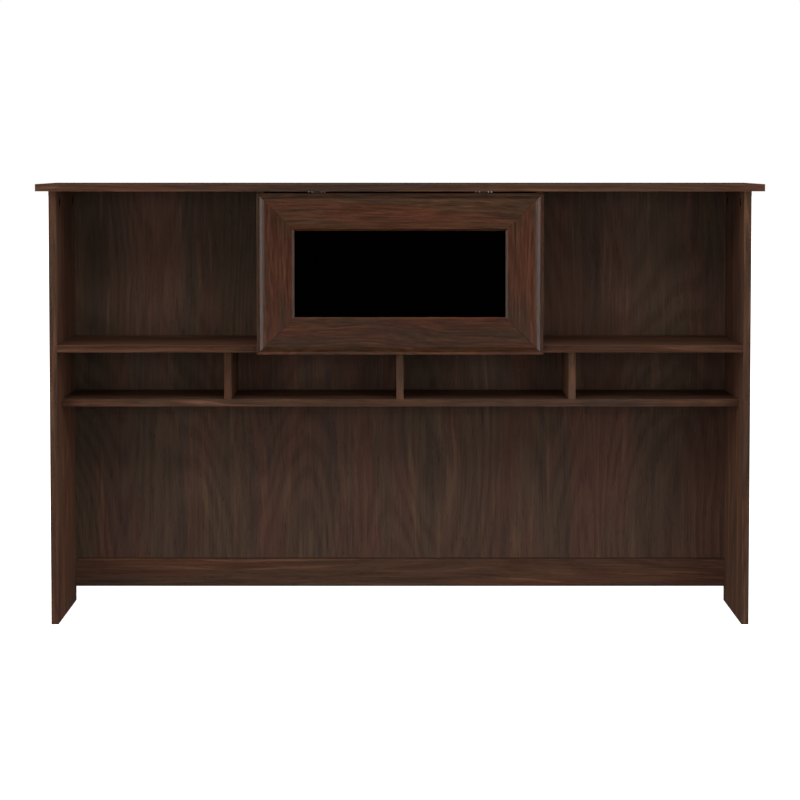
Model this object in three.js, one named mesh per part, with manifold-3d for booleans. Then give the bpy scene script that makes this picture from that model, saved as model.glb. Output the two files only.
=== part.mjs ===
import * as THREE from "three";
import { mergeVertices } from "three/addons/utils/BufferGeometryUtils.js";
import Module from "manifold-3d";

// Desk hutch: a laminated shelf unit that stands on the rear of a desk.
// Millimetres. X is the width, +Y points to the rear, +Z up.
// The origin is the centre of the footprint, on the desk.

const BOARD = 15; // thickness of every laminated board
const GAP = 0.3; // clearance between pieces that touch

// Carcass. Inside its group, Y = 0 is the front plane of the side panels.
const TOP_WIDTH = 1510;
const TOP_OVERHANG = 24; // past the side panels and past the front plane
const HEIGHT = 923;
const SIDE_DEPTH = 281;
const BACK_THICKNESS = 3;
const BACK_INSET = 6; // from the outer faces of the side panels
const BACK_COVER = 1; // the top panel reaches this far past the back panel
const BACK_LOW_EDGE = 39;

const UPPER_SHELF_Z = 572; // undersides of the two shelves
const LOWER_SHELF_Z = 452;
const LOWER_SHELF_SETBACK = 66;
const DIVIDER_SPACING = 364;
const PARTITION_X = 289.5; // centre planes of the two uprights beside the door bay
const RAIL_LOW_EDGE = 33;
const RAIL_HEIGHT = 61;

// Cam fittings
const CAM_RADIUS = 7.5;
const CAM_DEPTH = 12;
const CAM_DROP = 24; // from the joint plane to the centre of the cam
const CAM_INSET = 0.2; // of its face behind the face of the board
const BOLT_HEAD_RADIUS = 3;
const BOLT_SLEEVE_RADIUS = 3.4;
const BOLT_THREAD_RADIUS = 2.6;
const BOLT_THREAD_LENGTH = 10;
const SIDE_CAM_Y = [58, 259];
const DIVIDER_CAM_Y = [130, 255];

// Flip-up door. Inside its group, the origin is the hinge axis.
const DOOR_WIDTH = 595;
const DOOR_HEIGHT = 336.2;
const DOOR_THICKNESS = 19;
const DOOR_TOP_GAP = 3.5; // under the top panel
const DOOR_BACK_GAP = 3; // in front of the carcass
const AXIS_BELOW_TOP_EDGE = 7.5;
const FRAME_WIDTH = 78.5;
const STRIP_WIDTH = 6.5; // the lower strip along the frame's outer edge
const STRIP_RECESS = 6.2; // behind the face
const EDGE_CHAMFER = 0.8;
const QUIRK_RISE = 0.6; // the fine step between the strip and the slope
const SLOPE_START = { inwards: 0.9, rise: 1.1 }; // from the inner edge of the strip
const SLOPE_END = 12.5; // the slope up from the strip, and the round shoulder at its head
const SHOULDER_DROP = 1.2;
const SHOULDER_CURVE = 1.5; // how far inwards the shoulder's tangents meet
const SHOULDER_END = 20;
const LIP_CHAMFER = 4.6; // along the glass
const REBATE_WIDTH = 6.3;
const REBATE_DEPTH = 9.3;
const MITRE_GAP = 0.2;
const GLASS_THICKNESS = 3;
const RETAINER_WIDTH = 5.4;
const RETAINER_INSET = 0.5; // behind which the retainer stays, from the back of the door
const BUMPER_RADIUS = 4.5;
const BUMPER_THICKNESS = 2.3;

// Hinges
const HINGE_X = 174;
const CUP_RADIUS = 17.2;
const CUP_WALL = 1;
const CUP_DEPTH = 11.5;
const CUP_BELOW_TOP_EDGE = 28;
const FLANGE_THICKNESS = 1;
const FLANGE_WIDTH = 52;
const FLANGE_HEIGHT = 17;
const CHEEK_INNER = 7.4;
const CHEEK_OUTER = 9;
const CHEEK_EYE_RADIUS = 2.6;
const CHEEK_DEPTH = [-1.8, 6.5]; // from the hinge axis
const CHEEK_HEIGHT = [-14, 1];
const NOTCH_FRONT = -2.1; // of the notch round the cheeks and the arm, from the hinge axis
const NOTCH_BOTTOM = -10;
const NOTCH_CLEARANCE = 0.4; // round the knuckle
const PIN_RADIUS = 1.3;
const PIN_HALF_LENGTH = 9.2;
const KNUCKLE_RADIUS = 2.7;
const ARM_HALF_WIDTH = 6.6;
const PLATE_HALF_WIDTH = 19;
const PLATE_THICKNESS = 3;
const PLATE_DEPTH = [26, 57]; // from the hinge axis to the rear
const SCREW_SPREAD = 13; // of the two plate screws, from the middle of the plate
const SCREW_HEAD_RADIUS = 3.4;
const SCREW_RADIUS = 1.6;
const SCREW_LENGTH = 14;

// Lid stay: a parallelogram of the hinge axis, the fixed pivot, the elbow and the door pivot
const STAY_FIXED = { y: 83, z: -25 }; // fixed pivot from the hinge axis
const STAY_DOOR = { y: 25, z: -151 }; // door pivot from the hinge axis, door shut
const STAY_WIDTH = 13;
const STAY_THICKNESS = 3;
const STAY_PIN_RADIUS = 3;
const STAY_HOLE_RADIUS = 3.5;
const STAY_FREE_HOLE_RADIUS = 3.7; // round the door pin
const STAY_RIVET_RADIUS = 5; // heads of the pins
const STAY_BRACKET_SIZE = { along: 56, across: 28, corner: 7 };
const STAY_LUG_RADIUS = 8;
const STAY_BASE = { width: 28, height: 40, thickness: 2.4 };
// Distances of each layer of the stay from the upright it is screwed to
const BRACKET_LAYER = [GAP, 2.6];
const ARM_LAYER = 3.2;
const LINK_LAYER = 6.8;
const LUG_LAYER = [10.4, 12.9];

// Derived planes
const sideOuter = TOP_WIDTH / 2 - TOP_OVERHANG;
const sideInner = sideOuter - BOARD;
const topUnderside = HEIGHT - BOARD;
const backFront = SIDE_DEPTH + GAP;
const backRear = backFront + BACK_THICKNESS;
const topRear = backRear + BACK_COVER;
const doorTop = topUnderside - DOOR_TOP_GAP;
const axisY = -DOOR_BACK_GAP - DOOR_THICKNESS / 2;
const axisZ = doorTop - AXIS_BELOW_TOP_EDGE;
const doorBack = DOOR_THICKNESS / 2;
const plateUnderside = topUnderside - GAP - PLATE_THICKNESS;
const stayFace = PARTITION_X - BOARD / 2;

const wasm = await Module();
wasm.setup();

function solidOf(geometry) {
  const bare = geometry.clone();
  bare.deleteAttribute("normal");
  bare.deleteAttribute("uv");
  const merged = mergeVertices(bare, 1e-4);
  const vertProperties = merged.getAttribute("position").array;
  const triVerts = new Uint32Array(merged.index.array);
  return new wasm.Manifold(new wasm.Mesh({ numProp: 3, vertProperties, triVerts }));
}

function geometryOf(solid) {
  const { vertProperties, triVerts } = solid.getMesh();
  const geometry = new THREE.BufferGeometry();
  geometry.setAttribute("position", new THREE.BufferAttribute(new Float32Array(vertProperties), 3));
  geometry.setIndex(new THREE.BufferAttribute(new Uint32Array(triVerts), 1));
  geometry.computeVertexNormals();
  return geometry;
}

function join(...geometries) {
  return geometryOf(geometries.map(solidOf).reduce((whole, next) => whole.add(next)));
}

function cut(geometry, ...cutters) {
  return geometryOf(cutters.map(solidOf).reduce((rest, next) => rest.subtract(next), solidOf(geometry)));
}

// A box from its extent along each axis.
function block([x0, x1], [y0, y1], [z0, z1]) {
  const geometry = new THREE.BoxGeometry(x1 - x0, y1 - y0, z1 - z0);
  return geometry.translate((x0 + x1) / 2, (y0 + y1) / 2, (z0 + z1) / 2);
}

// A flat plate with round corners, centred on the origin in X and Y, from Z = 0 up.
function roundedPlate(width, height, thickness, radius = 4) {
  const x = width / 2 - radius;
  const y = height / 2 - radius;
  const outline = new THREE.Shape();
  outline.absarc(x, y, radius, 0, Math.PI / 2, false);
  outline.absarc(-x, y, radius, Math.PI / 2, Math.PI, false);
  outline.absarc(-x, -y, radius, Math.PI, 1.5 * Math.PI, false);
  outline.absarc(x, -y, radius, 1.5 * Math.PI, 2 * Math.PI, false);
  return new THREE.ExtrudeGeometry(outline, { depth: thickness, bevelEnabled: false, curveSegments: 3 });
}

// Turns a shape's x to Y, its y to Z and its thickness to X.
function facingX(geometry) {
  return geometry.rotateZ(Math.PI / 2).rotateY(Math.PI / 2);
}

// Round bars along X, Y and Z, from their extent along that axis and the centre in the other two.
function rodX(radius, [x0, x1], y = 0, z = 0, segments = 16) {
  const geometry = new THREE.CylinderGeometry(radius, radius, x1 - x0, segments);
  return geometry.rotateZ(-Math.PI / 2).translate((x0 + x1) / 2, y, z);
}

function rodY(radius, [y0, y1], x = 0, z = 0, segments = 16) {
  const geometry = new THREE.CylinderGeometry(radius, radius, y1 - y0, segments);
  return geometry.translate(x, (y0 + y1) / 2, z);
}

function rodZ(radius, [z0, z1], x = 0, y = 0, segments = 8) {
  const geometry = new THREE.CylinderGeometry(radius, radius, z1 - z0, segments);
  return geometry.rotateX(Math.PI / 2).translate(x, y, (z0 + z1) / 2);
}

// A stepped round bar along X, from [x, radius] pairs in rising x.
function turnedX(steps, segments = 16) {
  const profile = [new THREE.Vector2(0, steps[0][0])];
  for (const [x, radius] of steps) profile.push(new THREE.Vector2(radius, x));
  profile.push(new THREE.Vector2(0, steps.at(-1)[0]));
  return new THREE.LatheGeometry(profile, segments).rotateZ(-Math.PI / 2);
}

const FINISHES = {
  laminate: { color: 0x402a21, roughness: 0.42, metalness: 0 },
  hardboard: { color: 0x33231b, roughness: 0.6, metalness: 0 },
  glass: { color: 0x040303, roughness: 0.06, metalness: 0 },
  zinc: { color: 0xa9a9a4, roughness: 0.35, metalness: 0.9 },
  steel: { color: 0x8d8f90, roughness: 0.3, metalness: 1 },
  plastic: { color: 0x16130f, roughness: 0.5, metalness: 0 },
};

function piece(parent, name, finish, geometry) {
  const mesh = new THREE.Mesh(geometry, new THREE.MeshStandardMaterial(FINISHES[finish]));
  mesh.name = name;
  parent.add(mesh);
  return mesh;
}

// Countersunk screws that hold the hinge plates up to the top panel. Each stands on +Z, with the flat
// of its head at the origin.
const plateScrewPlaces = [["left", -HINGE_X], ["right", HINGE_X]].flatMap(([label, middle]) =>
  [["left", -SCREW_SPREAD], ["right", SCREW_SPREAD]].map(([end, offset]) => ({
    name: label + "_hinge_plate_" + end + "_screw",
    x: middle + offset,
    y: (PLATE_DEPTH[0] + PLATE_DEPTH[1]) / 2,
  })),
);

function screwGeometry() {
  const crossArm = 2.2;
  const crossHalf = 0.5;
  const crossDepth = [-1, 1.1];
  const steps = [
    [0, SCREW_HEAD_RADIUS],
    [SCREW_HEAD_RADIUS - SCREW_RADIUS, SCREW_RADIUS],
    [SCREW_LENGTH, SCREW_RADIUS],
  ];
  return cut(
    turnedX(steps, 12).rotateY(-Math.PI / 2),
    block([-crossArm, crossArm], [-crossHalf, crossHalf], crossDepth),
    block([-crossHalf, crossHalf], [-crossArm, crossArm], crossDepth),
  );
}

// The room that one screw takes, open downwards by the overshoot.
function screwBore(overshoot) {
  const steps = [
    [-overshoot, SCREW_HEAD_RADIUS + GAP],
    [0, SCREW_HEAD_RADIUS + GAP],
    [SCREW_HEAD_RADIUS - SCREW_RADIUS, SCREW_RADIUS + GAP],
    [SCREW_LENGTH + 2 * GAP, SCREW_RADIUS + GAP],
  ];
  return turnedX(steps, 12).rotateY(-Math.PI / 2);
}

// Carcass boards

// Bores for the thread of a cam bolt: they open downwards at a joint plane.
function threadBores(jointZ, places) {
  return places.map(([x, y]) =>
    rodZ(BOLT_THREAD_RADIUS + GAP, [jointZ - 1, jointZ + BOLT_THREAD_LENGTH + 2 * GAP], x, y),
  );
}

// The pocket of one cam and the bore that runs up from it to the top edge of its board.
function camBores(faceX, inwards, y, jointZ) {
  const camZ = jointZ - CAM_DROP;
  const ends = [faceX - inwards, faceX + inwards * (CAM_DEPTH + GAP)].sort((a, b) => a - b);
  const boltX = faceX + (inwards * BOARD) / 2;
  return [
    rodX(CAM_RADIUS + GAP, ends, y, camZ, 20),
    rodZ(BOLT_SLEEVE_RADIUS + GAP, [camZ, jointZ + 1], boltX, y),
  ];
}

// Cam: a drum whose slot takes the head of the bolt, with a cross recess in its face.
// Its face is at X = 0 and its drum runs towards -X.
function camGeometry() {
  const slotHalf = BOLT_HEAD_RADIUS + 0.5;
  const faceThickness = 4;
  const crossArm = 4;
  const crossHalf = 0.8;
  const crossDepth = [-1.5, 1];
  return cut(
    rodX(CAM_RADIUS, [-CAM_DEPTH, 0], 0, 0, 20),
    block([-CAM_DEPTH - 1, -faceThickness], [-slotHalf, slotHalf], [-slotHalf, CAM_RADIUS + 1]),
    block(crossDepth, [-crossArm, crossArm], [-crossHalf, crossHalf]),
    block(crossDepth, [-crossHalf, crossHalf], [-crossArm, crossArm]),
  );
}

// Cam bolt: head, neck, sleeve and thread. It stands on +Z with the centre of its head at the origin.
function boltGeometry() {
  const neck = 1.6;
  const collar = CAM_RADIUS + 0.8;
  const joint = CAM_DROP - 0.5;
  const steps = [
    [-1.6, 2],
    [-0.6, BOLT_HEAD_RADIUS],
    [0.8, BOLT_HEAD_RADIUS],
    [2, neck],
    [collar, neck],
    [collar, BOLT_SLEEVE_RADIUS],
    [joint, BOLT_SLEEVE_RADIUS],
    [joint, BOLT_THREAD_RADIUS],
    [CAM_DROP + BOLT_THREAD_LENGTH, BOLT_THREAD_RADIUS],
  ];
  return turnedX(steps, 8).rotateY(-Math.PI / 2);
}

function camPair(parent, name, faceX, inwards, y, jointZ) {
  const cam = piece(parent, name + "_cam", "zinc", camGeometry());
  cam.position.set(faceX + inwards * CAM_INSET, y, jointZ - CAM_DROP);
  cam.rotation.z = inwards > 0 ? Math.PI : 0;
  const bolt = piece(parent, name + "_cam_bolt", "steel", boltGeometry());
  bolt.position.set(faceX + (inwards * BOARD) / 2, y, jointZ - CAM_DROP);
}

const ROW_NAMES = ["front", "rear"];

function addSides(parent) {
  for (const [label, sign] of [["left", -1], ["right", 1]]) {
    const across = [sign * sideInner, sign * sideOuter].sort((a, b) => a - b);
    const board = block(across, [0, SIDE_DEPTH], [0, topUnderside - GAP]);
    const bores = SIDE_CAM_Y.flatMap((y) => camBores(sign * sideInner, sign, y, topUnderside));
    piece(parent, label + "_side_panel", "laminate", cut(board, ...bores));
    SIDE_CAM_Y.forEach((y, row) =>
      camPair(parent, label + "_side_" + ROW_NAMES[row], sign * sideInner, sign, y, topUnderside),
    );
  }
}

function addTop(parent) {
  const board = block(
    [-TOP_WIDTH / 2, TOP_WIDTH / 2],
    [-TOP_OVERHANG, topRear],
    [topUnderside, HEIGHT],
  );
  const boltX = sideInner + BOARD / 2;
  const places = SIDE_CAM_Y.flatMap((y) => [[-boltX, y], [boltX, y]]);
  const screwBores = plateScrewPlaces.map(({ x, y }) =>
    screwBore(1).translate(x, axisY + y, plateUnderside),
  );
  const bores = [...threadBores(topUnderside, places), ...screwBores];
  piece(parent, "top_panel", "laminate", cut(board, ...bores));
}

const dividerPlaces = [["left", -DIVIDER_SPACING], ["center", 0], ["right", DIVIDER_SPACING]];

function addShelves(parent) {
  const across = [-sideInner + GAP, sideInner - GAP];
  const upper = block(across, [0, SIDE_DEPTH], [UPPER_SHELF_Z, UPPER_SHELF_Z + BOARD]);
  const places = dividerPlaces.flatMap(([, x]) => DIVIDER_CAM_Y.map((y) => [x, y]));
  piece(parent, "upper_shelf", "laminate", cut(upper, ...threadBores(UPPER_SHELF_Z, places)));
  const lower = block(
    across,
    [LOWER_SHELF_SETBACK, SIDE_DEPTH],
    [LOWER_SHELF_Z, LOWER_SHELF_Z + BOARD],
  );
  piece(parent, "lower_shelf", "laminate", lower);
}

function addUprights(parent) {
  const bayHeight = [UPPER_SHELF_Z + BOARD + GAP, topUnderside - GAP];
  for (const [label, x] of [["left", -PARTITION_X], ["right", PARTITION_X]]) {
    const board = block([x - BOARD / 2, x + BOARD / 2], [0, SIDE_DEPTH], bayHeight);
    piece(parent, label + "_partition", "laminate", board);
  }
  const cubbyHeight = [LOWER_SHELF_Z + BOARD + GAP, UPPER_SHELF_Z - GAP];
  for (const [label, x] of dividerPlaces) {
    const face = x + BOARD / 2;
    const board = block([x - BOARD / 2, face], [LOWER_SHELF_SETBACK, SIDE_DEPTH], cubbyHeight);
    const bores = DIVIDER_CAM_Y.flatMap((y) => camBores(face, -1, y, UPPER_SHELF_Z));
    piece(parent, label + "_divider", "laminate", cut(board, ...bores));
    DIVIDER_CAM_Y.forEach((y, row) =>
      camPair(parent, label + "_divider_" + ROW_NAMES[row], face, -1, y, UPPER_SHELF_Z),
    );
  }
}

function addBack(parent) {
  const half = sideOuter - BACK_INSET;
  const board = block([-half, half], [backFront, backRear], [BACK_LOW_EDGE, topUnderside - GAP]);
  piece(parent, "back_panel", "hardboard", board);
  const rail = block(
    [-sideInner + GAP, sideInner - GAP],
    [SIDE_DEPTH - BOARD, SIDE_DEPTH],
    [RAIL_LOW_EDGE, RAIL_LOW_EDGE + RAIL_HEIGHT],
  );
  piece(parent, "bottom_back_rail", "laminate", rail);
}

// Door

// Section of the moulded frame: u runs inwards from the outer edge, v from the back to the face.
function frameSection() {
  const face = DOOR_THICKNESS;
  const strip = face - STRIP_RECESS;
  const section = new THREE.Shape();
  section.moveTo(0, 0);
  section.lineTo(FRAME_WIDTH - REBATE_WIDTH, 0);
  section.lineTo(FRAME_WIDTH - REBATE_WIDTH, REBATE_DEPTH);
  section.lineTo(FRAME_WIDTH, REBATE_DEPTH);
  section.lineTo(FRAME_WIDTH, face - LIP_CHAMFER);
  section.lineTo(FRAME_WIDTH - LIP_CHAMFER, face);
  section.lineTo(SHOULDER_END, face);
  section.quadraticCurveTo(SLOPE_END + SHOULDER_CURVE, face, SLOPE_END, face - SHOULDER_DROP);
  section.lineTo(STRIP_WIDTH + SLOPE_START.inwards, strip + SLOPE_START.rise);
  section.lineTo(STRIP_WIDTH, strip + QUIRK_RISE);
  section.lineTo(STRIP_WIDTH, strip);
  section.lineTo(EDGE_CHAMFER, strip);
  section.lineTo(0, strip - EDGE_CHAMFER);
  return section;
}

// A frame member whose ends are mitred at 45 degrees. It runs along X, with its outer edge at Z = 0,
// its back at Y = 0 and its face towards -Y.
function mitredMember(length) {
  const geometry = new THREE.ExtrudeGeometry(frameSection(), {
    depth: 1,
    bevelEnabled: false,
    curveSegments: 5,
  });
  const position = geometry.getAttribute("position");
  for (let i = 0; i < position.count; i += 1) {
    const inwards = position.getX(i);
    const outwards = position.getY(i);
    const end = position.getZ(i) < 0.5 ? 1 : -1;
    position.setXYZ(i, end * (length / 2 - inwards - MITRE_GAP), -outwards, -inwards);
  }
  return geometry;
}

// The cup bore and the notch for the arm and the cheeks of one hinge, open at the back and top edge.
function hingeBores(x) {
  const cupZ = AXIS_BELOW_TOP_EDGE - CUP_BELOW_TOP_EDGE;
  const notch = CHEEK_OUTER + 2 * GAP;
  return [
    rodY(CUP_RADIUS + GAP, [doorBack - CUP_DEPTH - GAP, doorBack + 1], x, cupZ, 24),
    block([x - notch, x + notch], [NOTCH_FRONT, doorBack + 1], [NOTCH_BOTTOM, AXIS_BELOW_TOP_EDGE + 1]),
    rodX(KNUCKLE_RADIUS + NOTCH_CLEARANCE, [x - notch, x + notch]),
  ];
}

function addDoorFrame(parent) {
  const halfWidth = DOOR_WIDTH / 2;
  const middle = AXIS_BELOW_TOP_EDGE - DOOR_HEIGHT / 2;
  const bottom = AXIS_BELOW_TOP_EDGE - DOOR_HEIGHT;
  const topBar = mitredMember(DOOR_WIDTH).translate(0, doorBack, AXIS_BELOW_TOP_EDGE);
  const bores = [-HINGE_X, HINGE_X].flatMap(hingeBores);
  piece(parent, "door_top_rail", "laminate", cut(topBar, ...bores));

  const bottomRail = piece(parent, "door_bottom_rail", "laminate", mitredMember(DOOR_WIDTH));
  bottomRail.position.set(0, doorBack, bottom);
  bottomRail.rotation.y = Math.PI;

  const leftStile = piece(parent, "door_left_stile", "laminate", mitredMember(DOOR_HEIGHT));
  leftStile.position.set(-halfWidth, doorBack, middle);
  leftStile.rotation.y = -Math.PI / 2;

  const rightStile = piece(parent, "door_right_stile", "laminate", mitredMember(DOOR_HEIGHT));
  rightStile.position.set(halfWidth, doorBack, middle);
  rightStile.rotation.y = Math.PI / 2;
}

function addGlass(parent) {
  const halfWidth = DOOR_WIDTH / 2 - FRAME_WIDTH + REBATE_WIDTH - GAP;
  const halfHeight = DOOR_HEIGHT / 2 - FRAME_WIDTH + REBATE_WIDTH - GAP;
  const middle = AXIS_BELOW_TOP_EDGE - DOOR_HEIGHT / 2;
  const glassFront = doorBack - REBATE_DEPTH + GAP;
  const glassBack = glassFront + GLASS_THICKNESS;
  const upright = [middle - halfHeight, middle + halfHeight];
  const pane = block([-halfWidth, halfWidth], [glassFront, glassBack], upright);
  piece(parent, "door_glass", "glass", pane);

  // A soft loop pressed into the rebate behind the pane.
  const behind = [glassBack + GAP, doorBack - RETAINER_INSET];
  const outer = block([-halfWidth, halfWidth], behind, upright);
  const inner = block(
    [-halfWidth + RETAINER_WIDTH, halfWidth - RETAINER_WIDTH],
    [glassBack, doorBack],
    [upright[0] + RETAINER_WIDTH, upright[1] - RETAINER_WIDTH],
  );
  piece(parent, "glass_retainer", "plastic", cut(outer, inner));
}

function addBumpers(parent) {
  const z = UPPER_SHELF_Z + BOARD / 2 - axisZ;
  const padDepth = [doorBack + GAP, doorBack + GAP + BUMPER_THICKNESS];
  for (const [label, sign] of [["left", -1], ["right", 1]]) {
    const pad = rodY(BUMPER_RADIUS, padDepth, sign * PARTITION_X, z, 12);
    piece(parent, label + "_door_bumper", "plastic", pad);
  }
}

// Hinges

// Cup: a drawn bowl with a screw flange, and two cheeks that carry the pin.
function cupGeometry(x) {
  const cupZ = AXIS_BELOW_TOP_EDGE - CUP_BELOW_TOP_EDGE;
  const flangeBack = doorBack + GAP + FLANGE_THICKNESS;
  const floor = doorBack - CUP_DEPTH;
  const cheeks = [-1, 1].flatMap((side) => {
    const across = [x + side * CHEEK_INNER, x + side * CHEEK_OUTER].sort((a, b) => a - b);
    return [block(across, CHEEK_DEPTH, CHEEK_HEIGHT), rodX(CHEEK_EYE_RADIUS, across)];
  });
  const shell = join(
    roundedPlate(FLANGE_WIDTH, FLANGE_HEIGHT, FLANGE_THICKNESS)
      .rotateX(Math.PI / 2)
      .translate(x, flangeBack, cupZ),
    rodY(CUP_RADIUS, [floor, flangeBack], x, cupZ, 24),
  );
  const bowl = rodY(CUP_RADIUS - CUP_WALL, [floor + CUP_WALL, flangeBack + 1], x, cupZ, 24);
  const pinHole = rodX(PIN_RADIUS + GAP, [x - CHEEK_OUTER - 1, x + CHEEK_OUTER + 1]);
  return cut(join(cut(shell, bowl), ...cheeks), pinHole);
}

// Arm: a knuckle on the pin, a flat strap straight back, and a channel under the mounting plate.
function armGeometry(x) {
  const across = [x - ARM_HALF_WIDTH, x + ARM_HALF_WIDTH];
  const strap = [-0.8, 1.7];
  const channel = [24, 58];
  const wall = 1.4;
  const channelTop = plateUnderside - GAP - axisZ;
  const body = join(
    rodX(KNUCKLE_RADIUS, across),
    block(across, [0, channel[0] + 1], strap),
    block(across, channel, [strap[0], channelTop]),
  );
  return cut(
    body,
    block([across[0] + wall, across[1] - wall], [channel[0] + 2, channel[1] + 1], [-2, channelTop - 2]),
    rodX(PIN_RADIUS + GAP, [across[0] - 1, across[1] + 1]),
  );
}

function addHinges(fixed, door) {
  for (const [label, sign] of [["left", -1], ["right", 1]]) {
    const x = sign * HINGE_X;
    piece(door, label + "_hinge_cup", "zinc", cupGeometry(x));
    const pinEnds = [x - PIN_HALF_LENGTH, x + PIN_HALF_LENGTH];
    piece(door, label + "_hinge_pin", "steel", rodX(PIN_RADIUS, pinEnds));
    piece(fixed, label + "_hinge_arm", "zinc", armGeometry(x));
    const plateBottom = plateUnderside - axisZ;
    const plate = roundedPlate(2 * PLATE_HALF_WIDTH, PLATE_DEPTH[1] - PLATE_DEPTH[0], PLATE_THICKNESS);
    plate.translate(x, (PLATE_DEPTH[0] + PLATE_DEPTH[1]) / 2, plateBottom);
    const bores = plateScrewPlaces.map((place) => screwBore(1).translate(place.x, place.y, plateBottom));
    piece(fixed, label + "_hinge_plate", "zinc", cut(plate, ...bores));
  }
  for (const { name, x, y } of plateScrewPlaces) {
    piece(fixed, name, "steel", screwGeometry()).position.set(x, y, plateUnderside - axisZ);
  }
}

// Lid stay

// A flat bar with round ends and a hole at each end, from the origin to (y, z), towards -X.
function stayBar({ y, z }, holes) {
  const length = Math.hypot(y, z);
  const outline = new THREE.Shape();
  outline.absarc(0, 0, STAY_WIDTH / 2, Math.PI / 2, -Math.PI / 2, false);
  outline.absarc(length, 0, STAY_WIDTH / 2, -Math.PI / 2, Math.PI / 2, false);
  holes.forEach((radius, end) => {
    const hole = new THREE.Path();
    hole.absarc(end * length, 0, radius, 0, 2 * Math.PI, true);
    outline.holes.push(hole);
  });
  const bar = new THREE.ExtrudeGeometry(outline, {
    depth: STAY_THICKNESS,
    bevelEnabled: false,
    curveSegments: 8,
  });
  return facingX(bar).translate(-STAY_THICKNESS, 0, 0).rotateX(Math.atan2(z, y));
}

function addStay(structure, door, armGroup, linkGroup) {
  const layer = (distance) => stayFace - distance;
  const fixedY = axisY + STAY_FIXED.y;
  const fixedZ = axisZ + STAY_FIXED.z;

  const { along, across, corner } = STAY_BRACKET_SIZE;
  const bracketPlate = facingX(roundedPlate(along, across, BRACKET_LAYER[1] - BRACKET_LAYER[0], corner));
  const bracket = cut(
    bracketPlate.translate(layer(BRACKET_LAYER[1]), fixedY, fixedZ),
    rodX(STAY_PIN_RADIUS + GAP, [layer(4), layer(-1)], fixedY, fixedZ),
  );
  piece(structure, "stay_bracket", "zinc", bracket);

  const pivotPin = turnedX([
    [-8, STAY_RIVET_RADIUS],
    [-6.5, STAY_RIVET_RADIUS],
    [-6.5, STAY_PIN_RADIUS],
    [-0.6, STAY_PIN_RADIUS],
  ]);
  const pivot = piece(structure, "stay_pivot_pin", "steel", pivotPin);
  pivot.position.set(stayFace, fixedY, fixedZ);

  const arm = piece(armGroup, "stay_arm", "zinc", stayBar(STAY_DOOR, [STAY_HOLE_RADIUS, STAY_HOLE_RADIUS]));
  arm.position.x = layer(ARM_LAYER);
  const elbowPin = turnedX([
    [-11.1, STAY_RIVET_RADIUS - 0.5],
    [-10.1, STAY_RIVET_RADIUS - 0.5],
    [-10.1, STAY_PIN_RADIUS],
    [-2.9, STAY_PIN_RADIUS],
    [-2.9, STAY_RIVET_RADIUS],
    [-1.4, STAY_RIVET_RADIUS],
  ]);
  const elbow = piece(armGroup, "stay_elbow_pin", "steel", elbowPin);
  elbow.position.set(stayFace, STAY_DOOR.y, STAY_DOOR.z);

  const towardsDoor = { y: -STAY_FIXED.y, z: -STAY_FIXED.z };
  const linkHoles = [STAY_HOLE_RADIUS, STAY_FREE_HOLE_RADIUS];
  const link = piece(linkGroup, "stay_link", "zinc", stayBar(towardsDoor, linkHoles));
  link.position.x = layer(LINK_LAYER);

  const lug = [layer(LUG_LAYER[1]), layer(LUG_LAYER[0])];
  const base = roundedPlate(STAY_BASE.width, STAY_BASE.height, STAY_BASE.thickness);
  base.rotateX(Math.PI / 2);
  base.translate(lug[1] - STAY_BASE.width / 2, doorBack + GAP + STAY_BASE.thickness, STAY_DOOR.z);
  const lugHeight = [STAY_DOOR.z - STAY_LUG_RADIUS, STAY_DOOR.z + STAY_LUG_RADIUS];
  const doorBracket = cut(
    join(
      base,
      block(lug, [doorBack + GAP, STAY_DOOR.y], lugHeight),
      rodX(STAY_LUG_RADIUS, lug, STAY_DOOR.y, STAY_DOOR.z),
    ),
    rodX(STAY_PIN_RADIUS + GAP, [lug[0] - 1, lug[1] + 1], STAY_DOOR.y, STAY_DOOR.z),
  );
  piece(door, "stay_door_bracket", "zinc", doorBracket);
  const doorPin = turnedX([
    [-14.7, STAY_RIVET_RADIUS],
    [-13.2, STAY_RIVET_RADIUS],
    [-13.2, STAY_PIN_RADIUS],
    [-6.4, STAY_PIN_RADIUS],
  ]);
  const pin = piece(door, "stay_door_pin", "steel", doorPin);
  pin.position.set(stayFace, STAY_DOOR.y, STAY_DOOR.z);
}

// Assembly. Each moving body is a group whose origin is its own pivot.
const hutch = new THREE.Group();
const structure = new THREE.Group();
const hingeMounts = new THREE.Group();
const door = new THREE.Group();
const stayArm = new THREE.Group();
const stayLink = new THREE.Group();

structure.position.y = (TOP_OVERHANG - topRear) / 2;
hingeMounts.position.set(0, axisY, axisZ);
door.position.set(0, axisY, axisZ);
stayArm.position.set(0, axisY + STAY_FIXED.y, axisZ + STAY_FIXED.z);
stayLink.position.set(0, STAY_DOOR.y, STAY_DOOR.z);

hutch.add(structure);
structure.add(hingeMounts, door, stayArm);
stayArm.add(stayLink);

addTop(structure);
addSides(structure);
addShelves(structure);
addUprights(structure);
addBack(structure);
addDoorFrame(door);
addGlass(door);
addBumpers(door);
addHinges(hingeMounts, door);
addStay(structure, door, stayArm, stayLink);

export default hutch;
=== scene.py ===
import math

import bmesh
import bpy
from mathutils import Matrix, Vector


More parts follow.
